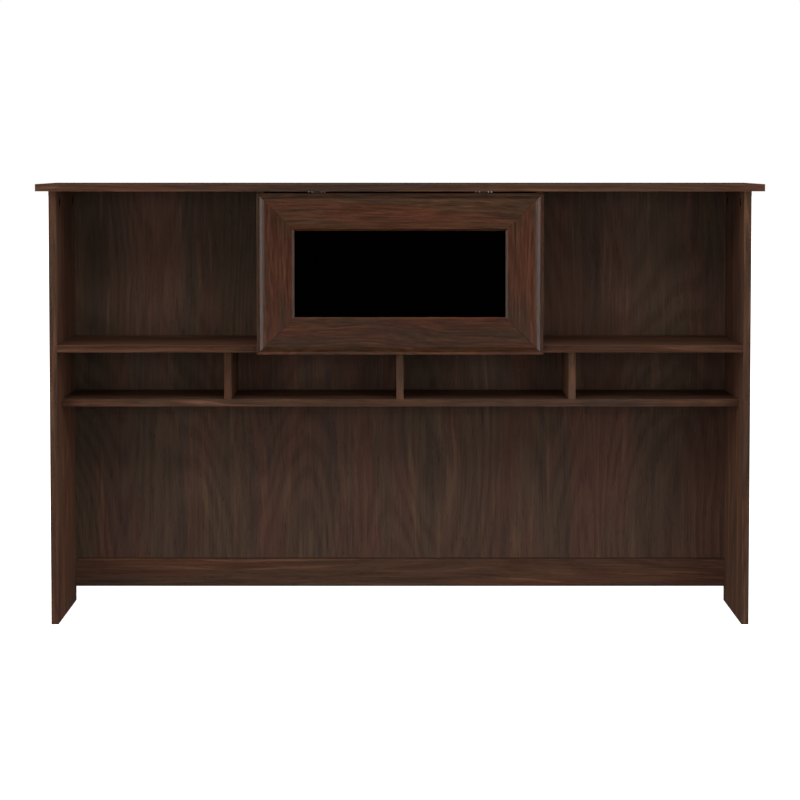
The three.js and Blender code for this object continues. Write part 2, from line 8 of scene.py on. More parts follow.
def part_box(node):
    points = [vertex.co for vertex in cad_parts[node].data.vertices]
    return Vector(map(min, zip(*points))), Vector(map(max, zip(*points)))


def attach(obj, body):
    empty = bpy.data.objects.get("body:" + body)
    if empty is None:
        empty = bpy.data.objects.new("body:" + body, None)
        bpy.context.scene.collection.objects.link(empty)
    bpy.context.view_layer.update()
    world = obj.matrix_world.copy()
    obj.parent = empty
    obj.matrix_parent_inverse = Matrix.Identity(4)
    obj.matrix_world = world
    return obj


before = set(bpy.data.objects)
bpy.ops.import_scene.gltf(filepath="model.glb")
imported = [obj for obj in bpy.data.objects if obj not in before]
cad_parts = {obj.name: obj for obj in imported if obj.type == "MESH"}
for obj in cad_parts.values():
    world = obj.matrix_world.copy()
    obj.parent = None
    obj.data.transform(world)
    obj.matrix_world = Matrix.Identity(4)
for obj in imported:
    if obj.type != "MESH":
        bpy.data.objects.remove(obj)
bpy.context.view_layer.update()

MM = 0.001
SCENE = bpy.context.scene


# ---------------------------------------------------------------- places from the frame

FRONT_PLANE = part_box("left_side_panel")[0].y
TOP_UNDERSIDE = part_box("top_panel")[0].z
BACK_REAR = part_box("back_panel")[1].y


def middle(node):
    """The middle of a CAD node's box."""
    low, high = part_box(node)
    return (low + high) / 2


# ---------------------------------------------------------------- shader helpers


class Shader:
    """Builds one material's node tree: each method adds a node and returns its output socket."""

    def __init__(self, name):
        self.material = bpy.data.materials.new(name)
        self.material.use_nodes = True
        self.tree = self.material.node_tree
        self.tree.nodes.clear()
        self.surface = self.tree.nodes.new("ShaderNodeBsdfPrincipled")
        output = self.tree.nodes.new("ShaderNodeOutputMaterial")
        self.tree.links.new(self.surface.outputs["BSDF"], output.inputs["Surface"])

    def feed(self, socket, value):
        if isinstance(value, bpy.types.NodeSocket):
            self.tree.links.new(value, socket)
        else:
            socket.default_value = value

    def set(self, **values):
        """Sets the surface's sockets, such as Base_Color=..."""
        for name, value in values.items():
            self.feed(self.surface.inputs[name.replace("_", " ")], value)

    def math(self, operation, a, b=0.0):
        node = self.tree.nodes.new("ShaderNodeMath")
        node.operation = operation
        self.feed(node.inputs[0], a)
        self.feed(node.inputs[1], b)
        return node.outputs[0]

    def spread(self, value, low, high, to_low=0.0, to_high=1.0):
        """Maps value from [low, high] to [to_low, to_high], clamped and eased."""
        node = self.tree.nodes.new("ShaderNodeMapRange")
        node.interpolation_type = "SMOOTHSTEP"
        for socket, number in zip(node.inputs, (value, low, high, to_low, to_high)):
            self.feed(socket, number)
        return node.outputs[0]

    def place(self):
        """The point on the piece, in its own coordinates, in metres."""
        return self.tree.nodes.new("ShaderNodeTexCoord").outputs["Object"]

    def parts(self, vector):
        node = self.tree.nodes.new("ShaderNodeSeparateXYZ")
        self.feed(node.inputs[0], vector)
        return node.outputs[0], node.outputs[1], node.outputs[2]

    def vector(self, x, y, z):
        node = self.tree.nodes.new("ShaderNodeCombineXYZ")
        for socket, value in zip(node.inputs, (x, y, z)):
            self.feed(socket, value)
        return node.outputs[0]

    def noise(self, vector, scale=1.0, detail=2.0, roughness=0.5):
        node = self.tree.nodes.new("ShaderNodeTexNoise")
        self.feed(node.inputs["Vector"], vector)
        node.inputs["Scale"].default_value = scale
        node.inputs["Detail"].default_value = detail
        node.inputs["Roughness"].default_value = roughness
        return node.outputs["Fac"]

    def mix(self, factor, a, b, blend="MIX"):
        node = self.tree.nodes.new("ShaderNodeMix")
        node.data_type = "RGBA"
        node.blend_type = blend
        self.feed(node.inputs["Factor"], factor)
        self.feed(node.inputs["A"], a)
        self.feed(node.inputs["B"], b)
        return node.outputs["Result"]

    def bump(self, height, distance, strength=1.0):
        node = self.tree.nodes.new("ShaderNodeBump")
        node.inputs["Strength"].default_value = strength
        node.inputs["Distance"].default_value = distance
        self.feed(node.inputs["Height"], height)
        self.set(Normal=node.outputs["Normal"])


def linear(red, green, blue):
    """An sRGB colour of 0 to 255 as the linear colour that shaders take."""
    def channel(value):
        value /= 255
        return value / 12.92 if value <= 0.04045 else ((value + 0.055) / 1.055) ** 2.4
    return (channel(red), channel(green), channel(blue), 1.0)


def shaded(colour, shade):
    """The colour made lighter or darker."""
    red, green, blue, alpha = colour
    return (shade * red, shade * green, shade * blue, alpha)


# ---------------------------------------------------------------- walnut laminate

AXES = {"X": 0, "Y": 1, "Z": 2}
# Each print: its colours (brown and red ground, dark bands, light streaks), how narrow and how short
# its figure is, how strong its bands and flares are, and how far its fine streaks go from the mean.
BOARD_PRINT = {
    "tints": (linear(59, 42, 32), linear(66, 42, 31), linear(47, 37, 31), linear(84, 58, 43)),
    "narrow": 1.0,
    "short": 1.0,
    "bands": 0.85,
    "flares": 0.75,
    "streaks": 0.20,
}
BACK_PRINT = {
    "tints": (linear(58, 45, 36), linear(65, 44, 36), linear(45, 38, 34), linear(82, 60, 46)),
    "narrow": 0.8,
    "short": 1.3,
    "bands": 0.45,
    "flares": 0.40,
    "streaks": 0.13,
}
DOOR_PRINT = {
    "tints": (linear(56, 37, 24), linear(66, 36, 23), linear(44, 32, 23), linear(85, 51, 33)),
    "narrow": 2.4,
    "short": 2.6,
    "bands": 0.45,
    "flares": 0.45,
    "streaks": 0.30,
}
# Each sheen: how much light the face throws back, and how rough it is from smoothest to roughest.
BOARD_SHEEN = (0.02, 0.60, 0.72)
TOP_SHEEN = (0.0, 0.60, 0.72)
BACK_SHEEN = (0.03, 0.62, 0.74)
DOOR_SHEEN = (0.075, 0.22, 0.30)
WORN_EDGE = linear(90, 66, 54)
WORN_WIDTH = 1.3 * MM
# How much of the worn colour shows at most on each kind of piece, and the least as a share of that.
DOOR_WEAR = 0.3
BOARD_WEAR = 0.25
TOP_WEAR = 0.7
LEAST_WEAR = 0.3
# How deep the band on the front of a piece goes.
EDGE_BAND = 0.6 * MM
# How far apart each seed's stretch of the print lies, across, into and along the grain, in metres.
SEED_SHIFT = (0.371, 0.193, 0.817)
# How far the grain wanders to each side, in metres.
GRAIN_WANDER = 0.055
# How much rougher the pores are than the print, and the bare fibre of the back panel.
PORE_DULLING = 0.12
FIBRE_DULLING = 0.22
# Relief of the print and of the finish on other pieces.
GRAIN_RELIEF = 0.04 * MM
FINE_RELIEF = 0.02 * MM
SCRATCH_RELIEF = 0.01 * MM


class Grain:
    """The grid that one board's figure is drawn on: it runs along one axis, and wanders a little."""

    def __init__(self, shader, along, seed):
        self.shader = shader
        coordinates = shader.parts(shader.place())
        order = [axis for axis in "XYZ" if axis != along] + [along]
        self.across, self.deep, self.long = (
            shader.math("ADD", coordinates[AXES[axis]], shift * seed)
            for axis, shift in zip(order, SEED_SHIFT)
        )
        wander = shader.math("SUBTRACT", self.noise(5.0, 1.6, detail=2.0), 0.5)
        drift = shader.math("MULTIPLY", wander, GRAIN_WANDER)
        self.across = shader.math("ADD", self.across, drift)
        self.deep = shader.math("ADD", self.deep, drift)

    def noise(self, across, long, **settings):
        """Noise with its own frequency, per metre, across and along the grain."""
        shader = self.shader
        stretched = shader.vector(
            shader.math("MULTIPLY", self.across, across),
            shader.math("MULTIPLY", self.deep, across),
            shader.math("MULTIPLY", self.long, long),
        )
        return shader.noise(stretched, **settings)


def edge_nearness(shader, low, high, axes, width):
    """1 along the edges of a box-shaped board, fading to 0 at the width from them."""
    coordinates = shader.parts(shader.place())
    distances = []
    for axis in axes:
        i = AXES[axis]
        from_low = shader.math("SUBTRACT", coordinates[i], low[i])
        from_high = shader.math("SUBTRACT", high[i], coordinates[i])
        distances.append(shader.math("MINIMUM", from_low, from_high))
    a, b = distances[0], distances[1]
    second = shader.math("MAXIMUM", a, b)
    if len(distances) == 3:
        lesser = shader.math("MINIMUM", a, b)
        second = shader.math("MAXIMUM", lesser, shader.math("MINIMUM", second, distances[2]))
    return shader.spread(second, 0.0, width, 1.0, 0.0)


def walnut_pattern(shader, along, seed, wood, shade=1.0):
    """Colour, fine streaks and pores of the printed walnut. Frequencies are per metre."""
    brown, red, dark, light = (shaded(tint, shade) for tint in wood["tints"])
    narrow = wood["narrow"]
    short = wood["short"]
    grain = Grain(shader, along, seed)
    tint = grain.noise(13.0 * narrow, 1.1 * short, detail=3.0, roughness=0.6)
    bands = grain.noise(30.0 * narrow, 1.7 * short, detail=4.0, roughness=0.6)
    # Contour lines of a stretched field give the arched figure of flat-cut walnut.
    field = grain.noise(6.0 * narrow, 0.7 * short, detail=1.0, roughness=0.3)
    rings = shader.math("SINE", shader.math("MULTIPLY", field, 160.0))
    flares = grain.noise(85.0, 3.2 * short, detail=3.0, roughness=0.6)
    streaks = grain.noise(240.0, 5.0 * short, detail=4.0, roughness=0.7)
    pores = shader.spread(grain.noise(900.0, 34.0, detail=1.0), 0.60, 0.70)

    colour = shader.mix(shader.spread(tint, 0.38, 0.62), brown, red)
    colour = shader.mix(shader.spread(bands, 0.50, 0.66, 0.0, wood["bands"]), colour, dark)
    between_bands = shader.spread(bands, 0.44, 0.60, wood["flares"], 0.1)
    flare = shader.math("MULTIPLY", shader.spread(flares, 0.52, 0.66), between_bands)
    colour = shader.mix(flare, colour, light)
    tone = shader.spread(streaks, 0.34, 0.66, 1.0 - wood["streaks"], 1.0 + wood["streaks"])
    tone = shader.math("MULTIPLY", tone, shader.spread(rings, -0.6, 1.0, 1.04, 0.88))
    tone = shader.math("MULTIPLY", tone, shader.spread(pores, 0.0, 1.0, 1.0, 0.66))
    colour = shader.mix(1.0, colour, shader.vector(tone, tone, tone), "MULTIPLY")
    return colour, streaks, pores


def finish_walnut(shader, colour, streaks, pores, sheen):
    """Puts the print's colour, sheen and shallow relief on the surface."""
    gloss, smoothest, roughest = sheen
    roughness = shader.spread(streaks, 0.3, 0.7, smoothest, roughest)
    roughness = shader.math("ADD", roughness, shader.math("MULTIPLY", pores, PORE_DULLING))
    shader.set(Base_Color=colour, Roughness=roughness, Specular_IOR_Level=gloss)
    height = shader.math("SUBTRACT", streaks, pores)
    shader.bump(height, GRAIN_RELIEF, 0.6)
    return shader.material


def walnut(
    node, along, seed, shade,
    wood=BOARD_PRINT, sheen=BOARD_SHEEN, edge_axes="XYZ", front_vs_painted_faces=1.0, wear=DOOR_WEAR,
):
    """A laminated board or door member: walnut print, its front band, and light wear along edges. The
    faces behind the front band are made lighter or darker than it: painted light and shade.
    """
    shader = Shader("walnut_" + node)
    low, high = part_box(node)
    colour, streaks, pores = walnut_pattern(shader, along, seed, wood, shade)
    # Everything behind the front band keeps the shade and the band is scaled against it, so those
    # faces carry painted light and shade.
    behind_front = shader.math("SUBTRACT", shader.parts(shader.place())[1], low.y)
    on_band = shader.math("LESS_THAN", behind_front, EDGE_BAND)
    band_colour = shader.mix(1.0, colour, (front_vs_painted_faces, front_vs_painted_faces, front_vs_painted_faces, 1.0), "MULTIPLY")
    colour = shader.mix(on_band, colour, band_colour)
    patchy = shader.noise(shader.place(), scale=60.0, detail=3.0)
    worn = edge_nearness(shader, low, high, edge_axes, WORN_WIDTH)
    amount = shader.spread(patchy, 0.35, 0.65, LEAST_WEAR * wear, wear)
    worn = shader.math("MULTIPLY", worn, amount)
    colour = shader.mix(worn, colour, WORN_EDGE)
    return finish_walnut(shader, colour, streaks, pores, sheen)


def walnut_back(node, seed):
    """The back panel: walnut print towards the front, bare pressed fibre on the rear."""
    shader = Shader("walnut_" + node)
    colour, streaks, pores = walnut_pattern(shader, "Z", seed, BACK_PRINT)
    gloss, smoothest, roughest = BACK_SHEEN
    place = shader.place()
    clumps = shader.noise(place, scale=900.0, detail=4.0, roughness=0.7)
    clouds = shader.noise(place, scale=9.0, detail=4.0)
    fibre = shader.mix(shader.spread(clumps, 0.3, 0.7), linear(92, 68, 50), linear(126, 98, 74))
    fibre = shader.mix(shader.spread(clouds, 0.35, 0.7, 0.0, 0.35), fibre, linear(84, 60, 44))
    depth = shader.parts(place)[1]
    rear = shader.math("GREATER_THAN", depth, middle(node).y)
    colour = shader.mix(rear, colour, fibre)
    roughness = shader.spread(streaks, 0.3, 0.7, smoothest, roughest)
    roughness = shader.math("ADD", roughness, shader.math("MULTIPLY", rear, FIBRE_DULLING))
    shader.set(Base_Color=colour, Roughness=roughness, Specular_IOR_Level=gloss)
    nap = shader.math("MULTIPLY", rear, clumps)
    height = shader.math("ADD", shader.math("SUBTRACT", streaks, pores), nap)
    shader.bump(height, GRAIN_RELIEF, 0.6)
    return shader.material


# ---------------------------------------------------------------- other materials


def plated_metal(name, colour, dull, low_roughness, high_roughness):
    """Plated or bright metal with fine scratches along X, and stains."""
    shader = Shader(name)
    place = shader.place()
    x, y, z = shader.parts(place)
    brushed = shader.vector(
        shader.math("MULTIPLY", x, 200.0),
        shader.math("MULTIPLY", y, 1800.0),
        shader.math("MULTIPLY", z, 1800.0),
    )
    scratches = shader.noise(brushed, detail=3.0, roughness=0.6)
    stains = shader.noise(place, scale=120.0, detail=4.0)
    shade = shader.mix(shader.spread(stains, 0.35, 0.7), colour, dull)
    roughness = shader.spread(scratches, 0.3, 0.7, low_roughness, high_roughness)
    shader.set(Base_Color=shade, Metallic=1.0, Roughness=roughness)
    shader.bump(scratches, SCRATCH_RELIEF, 0.5)
    return shader.material


def painted_shade_black(name):
    """Near black with faint stains: painted shade, standing for a cam that sits deep in a shadowed
    bore.
    """
    shader = Shader(name)
    place = shader.place()
    stains = shader.noise(place, scale=220.0, detail=4.0)
    grit = shader.noise(place, scale=2400.0, detail=2.0)
    dark = (0.003, 0.0028, 0.0026, 1.0)
    light = (0.006, 0.0055, 0.005, 1.0)
    shader.set(
        Base_Color=shader.mix(shader.spread(stains, 0.35, 0.7), dark, light),
        Roughness=shader.spread(grit, 0.3, 0.7, 0.55, 0.7),
        Specular_IOR_Level=0.02,
    )
    shader.bump(grit, FINE_RELIEF, 0.4)
    return shader.material


def black_glass():
    """Opaque black glass with the faintest uneven polish."""
    shader = Shader("black_glass")
    haze = shader.noise(shader.place(), scale=14.0, detail=5.0, roughness=0.65)
    dark = (0.00003, 0.00003, 0.00003, 1.0)
    light = (0.0001, 0.0001, 0.0001, 1.0)
    colour = shader.mix(shader.spread(haze, 0.3, 0.7), dark, light)
    shader.set(Base_Color=colour, Roughness=shader.spread(haze, 0.3, 0.7, 0.03, 0.07))
    shader.set(Specular_IOR_Level=0.006)
    shader.bump(haze, FINE_RELIEF, 0.2)
    return shader.material


def moulded_plastic(name, colour, roughness):
    """Plastic with a fine moulded skin."""
    shader = Shader(name)
    place = shader.place()
    skin = shader.noise(place, scale=2600.0, detail=2.0)
    cloud = shader.noise(place, scale=150.0, detail=2.0)
    lighter = tuple(min(1.0, 1.5 * channel) for channel in colour[:3]) + (1.0,)
    shader.set(
        Base_Color=shader.mix(shader.spread(cloud, 0.3, 0.7), colour, lighter),
        Roughness=shader.spread(skin, 0.3, 0.7, roughness - 0.06, roughness + 0.08),
    )
    shader.bump(skin, FINE_RELIEF, 0.4)
    return shader.material


def pale_floor():
    """A plain pale floor with hardly any clouding."""
    shader = Shader("pale_floor")
    cloud = shader.noise(shader.place(), scale=0.8, detail=3.0)
    pale = (0.78, 0.78, 0.78, 1.0)
    paler = (0.82, 0.82, 0.82, 1.0)
    shader.set(Base_Color=shader.mix(cloud, pale, paler), Roughness=0.9)
    # The floor is lit from below too, as a light table is, which keeps shadows faint.
    shader.set(Emission_Color=(1.0, 1.0, 1.0, 1.0), Emission_Strength=0.85)
    return shader.material


# ---------------------------------------------------------------- finishes on the CAD nodes

WELD_DISTANCE = 0.002 * MM
FLAT_ANGLE = math.radians(1.0)
EDGE_ANGLE = math.radians(40.0)


def dress(node, material):
    """Gives a CAD node its material."""
    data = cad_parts[node].data
    data.materials.clear()
    data.materials.append(material)


def soften(node, width):
    """Eases the edges of a CAD node by a width, so that they catch the light."""
    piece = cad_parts[node]
    piece.data.polygons.foreach_set("use_smooth", [True] * len(piece.data.polygons))
    weld = piece.modifiers.new("weld", "WELD")
    weld.merge_threshold = WELD_DISTANCE
    flatten = piece.modifiers.new("flatten", "DECIMATE")
    flatten.decimate_type = "DISSOLVE"
    flatten.angle_limit = FLAT_ANGLE
    bevel = piece.modifiers.new("ease", "BEVEL")
    bevel.width = width
    bevel.segments = 2
    bevel.limit_method = "ANGLE"
    bevel.angle_limit = EDGE_ANGLE
    # Wide faces keep their own normals, so that only the narrow eased ones look round.
    even = piece.modifiers.new("even", "WEIGHTED_NORMAL")
    even.mode = "FACE_AREA"
    even.weight = 100


# Each board: the way its grain runs, which stretch of the print it has, how light its faces are, and
# how light its front band is beside them. Where the band is below 1 the faces are lightened against
# the front as painted light, most on the top faces of the two shelves and on the faces of the side
# panels.
BOARDS = {
    "top_panel": ("X", 1, 0.98, 1.0),
    "left_side_panel": ("Z", 2, 1.30, 0.69),
    "right_side_panel": ("Z", 3, 1.38, 0.65),
    "upper_shelf": ("X", 4, 1.45, 0.48),
    "lower_shelf": ("X", 5, 2.1, 0.50),
    "left_partition": ("Z", 6, 1.0, 1.0),
    "right_partition": ("Z", 7, 1.0, 1.0),
    "left_divider": ("Z", 8, 1.0, 0.91),
    "center_divider": ("Z", 9, 1.4, 1.0),
    "right_divider": ("Z", 10, 1.5, 1.05),
    "bottom_back_rail": ("X", 11, 0.98, 1.0),
}
# The same for the door's members, after the axes across which each has its long edges. Here the band
# is the flat of the moulding, and what lies behind it, its slopes and chamfers, is lighter or darker
# as painted light and shade: painted light on the bottom rail, painted shade on the top rail and the
# right stile.
DOOR_MEMBERS = {
    "door_top_rail": ("X", "YZ", 21, 0.66, 1.27),
    "door_bottom_rail": ("X", "YZ", 22, 1.0, 0.63),
    "door_left_stile": ("Z", "XY", 23, 0.64, 1.0),
    "door_right_stile": ("Z", "XY", 24, 0.66, 1.21),
}

BACK_SEED = 31
# How far each kind of edge is eased.
TOP_EASE = 0.9 * MM
BOARD_EASE = 0.5 * MM
DOOR_EASE = 0.25 * MM
BACK_EASE = 0.3 * MM
CAM_EASE = 0.25 * MM
PIN_EASE = 0.2 * MM
PLASTIC_EASE = 0.4 * MM
PLATE_EASE = 0.3 * MM

for node, (along, seed, shade, front_vs_painted_faces) in BOARDS.items():
    on_top = node == "top_panel"
    sheen = TOP_SHEEN if on_top else BOARD_SHEEN
    wear = TOP_WEAR if on_top else BOARD_WEAR
    dress(node, walnut(node, along, seed, shade, sheen=sheen, front_vs_painted_faces=front_vs_painted_faces, wear=wear))
    soften(node, TOP_EASE if on_top else BOARD_EASE)
for node, (along, edge_axes, seed, shade, front_vs_painted_faces) in DOOR_MEMBERS.items():
    dress(node, walnut(node, along, seed, shade, DOOR_PRINT, DOOR_SHEEN, edge_axes, front_vs_painted_faces))
    soften(node, DOOR_EASE)
dress("back_panel", walnut_back("back_panel", BACK_SEED))
soften("back_panel", BACK_EASE)
dress("door_glass", black_glass())

# Each metal: its clean and its stained colour, and how rough it is from smoothest to roughest.
ZINC = plated_metal("zinc_plate", (0.38, 0.38, 0.37, 1.0), (0.22, 0.225, 0.225, 1.0), 0.16, 0.30)
PALE_ZINC = plated_metal("pale_zinc", (0.80, 0.80, 0.78, 1.0), (0.62, 0.62, 0.61, 1.0), 0.50, 0.62)
# The hinge plates get a near-black zinc: painted shade on the plates seen in the gap above the door.
PLATE_PAINTED_SHADE = plated_metal("dark_zinc", (0.10, 0.10, 0.10, 1.0), (0.06, 0.06, 0.065, 1.0), 0.25, 0.40)
STEEL = plated_metal("bright_steel", (0.66, 0.66, 0.66, 1.0), (0.52, 0.52, 0.53, 1.0), 0.18, 0.32)
# The cams' near black is painted shade, standing for the shade in the bores they sit deep in.
CAM_PAINTED_SHADE = painted_shade_black("cam_painted_shade")
PLASTIC = moulded_plastic("dark_plastic", linear(30, 26, 24), 0.5)

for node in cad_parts:
    if node.endswith("_cam"):
        dress(node, CAM_PAINTED_SHADE)
        soften(node, CAM_EASE)
    elif node.endswith(("_bolt", "_pin", "_screw")):
        dress(node, STEEL)
        soften(node, PIN_EASE)
    elif "bumper" in node or node == "glass_retainer":
        dress(node, PLASTIC)
        soften(node, PLASTIC_EASE)
    elif "hinge" in node or node.startswith("stay_"):
        dress(node, PLATE_PAINTED_SHADE if node.endswith("hinge_plate") else ZINC)
        soften(node, PLATE_EASE)


# ---------------------------------------------------------------- small fittings


def add_piece(name, mesh, material, body):
    """Links a mesh as a piece that rides a body."""
    mesh.materials.append(material)
    piece = bpy.data.objects.new(name, mesh)
    SCENE.collection.objects.link(piece)
    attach(piece, body)


def circle(form, radius, height, segments):
    """A ring of points round the Z axis."""
    turn = 2 * math.pi / segments
    return [
        form.verts.new((radius * math.cos(i * turn), radius * math.sin(i * turn), height))
        for i in range(segments)
    ]


def loop_edges(form, points):
    """Edges that join the points in a closed loop."""
    return [form.edges.new((points[i - 1], points[i])) for i in range(len(points))]


def join_rings(form, lower, upper):
    """The band of faces between two rings."""
    for i in range(len(lower)):
        form.faces.new((lower[i - 1], lower[i], upper[i], upper[i - 1]))


HEAD_SEGMENTS = 24
RECESS_TAPER = 0.8


def add_head(form, profile, cross):
    """Adds a screw head that stands on +Z: (radius, height) rings, and a cross recess in its top."""
    arm, slot_half, recess = cross
    rings = [circle(form, radius, height, HEAD_SEGMENTS) for radius, height in profile]
    for lower, upper in zip(rings, rings[1:]):
        join_rings(form, lower, upper)
    top = profile[-1][1]
    corners = []
    for quarter in range(4):
        turned = Matrix.Rotation(quarter * math.pi / 2, 3, "Z")
        for x, y in ((arm, -slot_half), (arm, slot_half), (slot_half, slot_half)):
            corners.append(turned @ Vector((x, y, 0)))
    rim = [form.verts.new((c.x, c.y, top)) for c in corners]
    floor = [
        form.verts.new((RECESS_TAPER * c.x, RECESS_TAPER * c.y, top - recess)) for c in corners
    ]
    outer = rings[-1]
    outer_edges = [form.edges.get((outer[i - 1], outer[i])) for i in range(HEAD_SEGMENTS)]
    bmesh.ops.triangle_fill(form, use_beauty=True, edges=outer_edges + loop_edges(form, rim))
    join_rings(form, rim, floor)
    form.faces.new(floor)


SHARP_ANGLE = math.radians(35.0)


def smooth_mesh(name, form):
    """The form as a mesh, smooth but for its sharp edges."""
    bmesh.ops.recalc_face_normals(form, faces=form.faces)
    mesh = bpy.data.meshes.new(name)
    form.to_mesh(mesh)
    form.free()
    mesh.shade_smooth()
    mesh.set_sharp_from_angle(angle=SHARP_ANGLE)
    return mesh


def facing(direction):
    """The turn that takes +Z to a direction."""
    return Vector((0, 0, 1)).rotation_difference(Vector(direction)).to_matrix().to_4x4()


def add_heads(name, places, direction, profile, cross, material, body):
    """One piece that holds the same head at each place, all facing one way."""
    form = bmesh.new()
    for place in places:
        before = set(form.verts)
        add_head(form, profile, cross)
        fresh = [v for v in form.verts if v not in before]
        turn = Matrix.Translation(place) @ facing(direction)
        bmesh.ops.transform(form, verts=fresh, matrix=turn)
    add_piece(name, smooth_mesh(name, form), material, body)


# Sizes of a pan head and its cross recess, as shares of its radius.
PAN_HEIGHT = 0.45
PAN_RIM = 0.25  # of the height
PAN_FLAT = 0.35
PAN_CROSS = (0.288, 0.11, 0.35)
DOME_ANGLES = [math.radians(degrees) for degrees in (20, 40, 60, 80)]


def pan_head(radius):
    """(radius, height) rings of a low domed head."""
    height = PAN_HEIGHT * radius
    rings = [(radius, 0.0), (radius, PAN_RIM * height)]
    for angle in DOME_ANGLES:
        out = PAN_FLAT + (1 - PAN_FLAT) * math.cos(angle)
        up = PAN_RIM + (1 - PAN_RIM) * math.sin(angle)
        rings.append((radius * out, height * up))
    return rings


def pan_heads(name, places, direction, radius, body, material=STEEL):
    """Pan head screws of one radius."""
    cross = [share * radius for share in PAN_CROSS]
    add_heads(name, places, direction, pan_head(radius), cross, material, body)


BOTH = (-1, 1)
FLANGE_SCREW_SPREAD = 21.5 * MM
FLANGE_SCREW_HEIGHT = 17.2 * MM
WIDE_HEAD = 3.2 * MM
HEAD = 3.0 * MM
TINY_HEAD = 1.4 * MM
# The clamping screw: in from the rear end of the hinge arm, and down from its top.
CLAMP_SCREW_IN = 14 * MM
CLAMP_SCREW_DOWN = 2 * MM
# The stay's screws: from the middle of the bracket, and on the base of the door bracket.
STAY_SCREW_SPREAD = 19 * MM
STAY_SCREW_DROP = 9 * MM
BASE_SCREW_IN = 11 * MM
BASE_THICKNESS = 2.4 * MM
BASE_SCREW_SPREAD = 13 * MM
# From the middle of the hinge plate.
ADJUSTING_SCREWS = (-8.5 * MM, 10.5 * MM, 17.4 * MM)

# Cup flange screws, on the rear of the door.
for label in ("left", "right"):
    cup_low, cup_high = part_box(label + "_hinge_cup")
    x = (cup_low.x + cup_high.x) / 2
    z = cup_low.z + FLANGE_SCREW_HEIGHT
    places = [Vector((x + side * FLANGE_SCREW_SPREAD, cup_high.y, z)) for side in BOTH]
    pan_heads(label + "_cup_screws", places, (0, 1, 0), WIDE_HEAD, "door")

# Clamping screw of each hinge arm, under the channel.
for label in ("left", "right"):
    arm_low, arm_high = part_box(label + "_hinge_arm")
    x = (arm_low.x + arm_high.x) / 2
    place = Vector((x, arm_high.y - CLAMP_SCREW_IN, arm_high.z - CLAMP_SCREW_DOWN))
    pan_heads(label + "_arm_screw", [place], (0, 0, -1), HEAD, "cabinet")

# Stay screws: on the fixed bracket, and on the base of the door bracket.
bracket_low, bracket_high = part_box("stay_bracket")
bracket_face = (bracket_low + bracket_high) / 2
bracket_face.x = bracket_low.x
# Set corner to corner, clear of the arm as it swings down and forward.
places = [
    bracket_face + Vector((0, side * STAY_SCREW_SPREAD, -side * STAY_SCREW_DROP)) for side in BOTH
]
pan_heads("stay_bracket_screws", places, (-1, 0, 0), WIDE_HEAD, "cabinet")
base_low, base_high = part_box("stay_door_bracket")
x = base_low.x + BASE_SCREW_IN
y = base_low.y + BASE_THICKNESS
z = (base_low.z + base_high.z) / 2
places = [Vector((x, y, z + side * BASE_SCREW_SPREAD)) for side in BOTH]
pan_heads("stay_door_bracket_screws", places, (0, 1, 0), HEAD, "door")

# Adjusting screws in the front edge of each hinge plate, seen through the gap above the door.
for label in ("left", "right"):
    plate_low, plate_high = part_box(label + "_hinge_plate")
    x = (plate_low.x + plate_high.x) / 2
    z = (plate_low.z + plate_high.z) / 2
    places = [Vector((x + offset, plate_low.y, z)) for offset in ADJUSTING_SCREWS]
    pan_heads(label + "_adjusting_screws", places, (0, -1, 0), TINY_HEAD, "cabinet", PALE_ZINC)


# Near-black rings round the cams on the side panels and the dividers, over the edges of their bores:
# painted shade. A ring's section is (radius, height) in millimetres, and each cam sits a little below
# the face of its board.
CAM_DEPTH = 0.2 * MM
SHADE_RING = [(7.9, -0.1), (7.9, 0.35), (8.2, 0.5), (9.0, 0.4), (9.3, 0.0), (9.3, -0.1)]
SHADE_RING_SEGMENTS = 32
SHADE_RING_BLACK = painted_shade_black("shade_ring_black")


def add_shade_ring(cam):
    """A thin near-black ring over the edge of the bore round one cam: painted shade of the bore."""
    low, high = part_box(cam)
    centre = (low + high) / 2
    way = -1 if cam.startswith("right_side") else 1
    face = low.x - CAM_DEPTH if way < 0 else high.x + CAM_DEPTH
    form = bmesh.new()
    rings = [circle(form, radius * MM, height * MM, SHADE_RING_SEGMENTS) for radius, height in SHADE_RING]
    for inner, outer in zip(rings, rings[1:] + rings[:1]):
        join_rings(form, inner, outer)
    turn = Matrix.Translation((face, centre.y, centre.z)) @ facing((way, 0, 0))
    bmesh.ops.transform(form, verts=form.verts, matrix=turn)
    name = cam + "_shade_ring"
    add_piece(name, smooth_mesh(name, form), SHADE_RING_BLACK, "cabinet")


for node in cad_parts:
    if node.endswith("_cam"):
        add_shade_ring(node)

# Cam faces of the joints that are seen only from below or from behind the door.
CAM_FACE = [(7.4 * MM, 0.0), (7.4 * MM, 0.1 * MM), (7.1 * MM, 0.25 * MM), (6.4 * MM, 0.25 * MM)]
CAM_CROSS = (3.8 * MM, 0.8 * MM, 0.9 * MM)
CAM_FROM_END = 24 * MM
# How far behind the front plane each row of cams lies.
UPPER_SHELF_ROWS = (46 * MM, 247 * MM)
LOWER_SHELF_ROWS = (105 * MM, 247 * MM)
PARTITION_ROWS = (150 * MM, 247 * MM)


def add_cam_faces(name, places, direction):
    """The faces of cams that are sunk into a board."""
    add_heads(name, places, direction, CAM_FACE, CAM_CROSS, CAM_PAINTED_SHADE, "cabinet")


